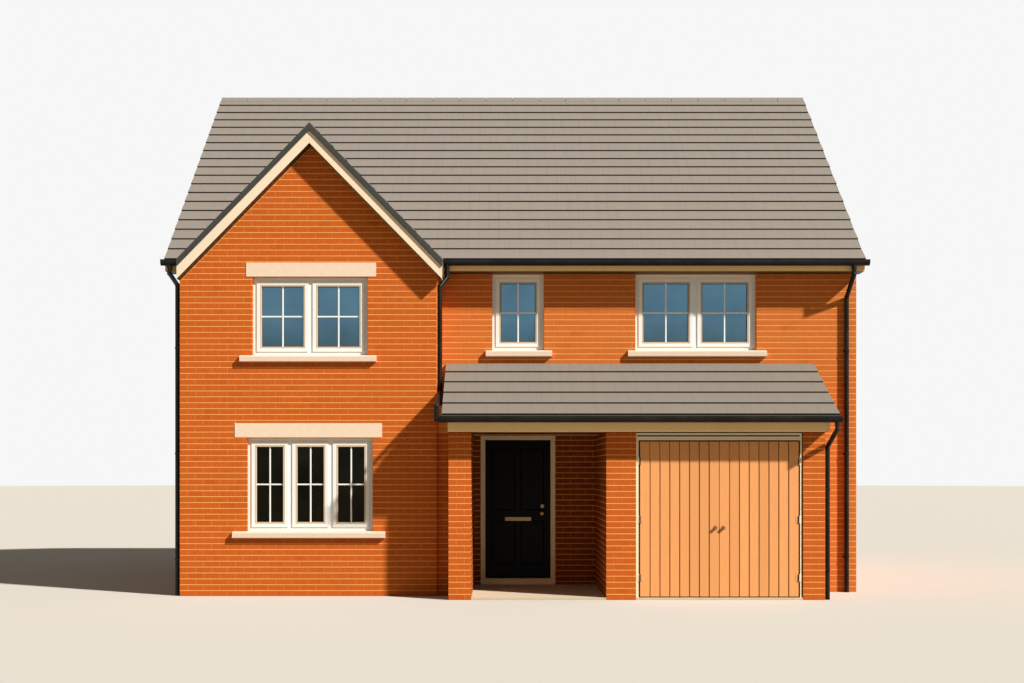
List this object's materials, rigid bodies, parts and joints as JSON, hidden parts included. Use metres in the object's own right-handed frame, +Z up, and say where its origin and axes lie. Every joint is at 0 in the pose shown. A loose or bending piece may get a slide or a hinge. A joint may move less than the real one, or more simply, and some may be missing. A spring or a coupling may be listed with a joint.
{
  "type": "detached house",
  "caption": "Two-storey brick detached house, hollow, with a front gable, an open porch with an opening front door, a garage with a pair of side-hung doors, and tiled roofs.",
  "frame": {"origin": "on the ground, at the middle of the main block's plan", "axes": "+X to the right seen from the front, -Y towards the viewer, +Z up; the main ridge runs along X"},
  "size_m": [10.159, 9.454, 8.23],
  "materials": {
    "brick": "red-orange facing brick with pale mortar",
    "concrete": "matt trowelled concrete",
    "plaster": "matt white ceiling",
    "roof_tile": "matt flat interlocking tile, warm grey",
    "verge_plastic": "dark verge caps",
    "cream_boards": "satin cream paint on boards",
    "black_plastic": "black rainwater plastic",
    "cast_stone": "fine pale cast stone",
    "window_plastic": "white frames, slight gloss",
    "window_glass": "clear panes with a blue-grey look",
    "door_frame_wood": "cream paint",
    "black_door": "satin black paint",
    "door_brass": "worn bronze-brass",
    "garage_boards": "stained vertical boards"
  },
  "bodies": {
    "house": {"ground_floor": "concrete", "garage_floor": "concrete", "porch_floor": "concrete", "first_floor": "concrete", "upper_ceiling": "plaster", "gable_front_wall": "brick", "gable_return_wall": "brick", "left_side_wall": "brick", "right_side_wall": "brick", "rear_wall": "brick", "main_front_wall": "brick", "porch_left_wall": "brick", "porch_middle_wall": "brick", "garage_right_wall": "brick", "door_wall": "brick", "porch_beam": "brick", "porch_ceiling": "cream_boards", "main_roof_front": "roof_tile", "main_roof_rear": "roof_tile", "gable_roof": "roof_tile", "porch_roof": "roof_tile", "ridge_caps": "roof_tile", "verge_strips": "verge_plastic", "barge_boards": "cream_boards", "main_eaves": "cream_boards", "rear_eaves": "cream_boards", "porch_eaves": "cream_boards", "main_gutter": "black_plastic", "left_gutter": "black_plastic", "rear_gutter": "black_plastic", "porch_gutter": "black_plastic", "left_downpipe": "black_plastic", "centre_downpipe": "black_plastic", "right_downpipe": "black_plastic", "porch_downpipe": "black_plastic", "rear_downpipes": "black_plastic", "window_lintels": "cast_stone", "window_sills": "cast_stone", "lower_left_window": "window_plastic", "upper_left_window": "window_plastic", "small_window": "window_plastic", "upper_right_window": "window_plastic", "rear_windows": "window_plastic", "front_glass": "window_glass", "rear_glass": "window_glass", "front_door_frame": "door_frame_wood", "garage_door_frame": "door_frame_wood"},
    "front_door": {"front_door": "black_door", "front_door_fittings": "door_brass"},
    "garage_left": {"garage_door_left": "garage_boards"},
    "garage_right": {"garage_door_right": "garage_boards"}
  },
  "joints": [
    {"name": "front_door_hinge", "type": "hinge", "parent": "house", "child": "front_door", "pos_m": [-0.5785, -2.632, 1.2], "axis": [0, 0, 1], "range_deg": [0, 90]},
    {"name": "garage_left_hinge", "type": "hinge", "parent": "house", "child": "garage_left", "pos_m": [1.5805, -4.933, 1.1], "axis": [0, 0, -1], "range_deg": [0, 90]},
    {"name": "garage_right_hinge", "type": "hinge", "parent": "house", "child": "garage_right", "pos_m": [3.7575, -4.933, 1.1], "axis": [0, 0, 1], "range_deg": [0, 90]}
  ]
}
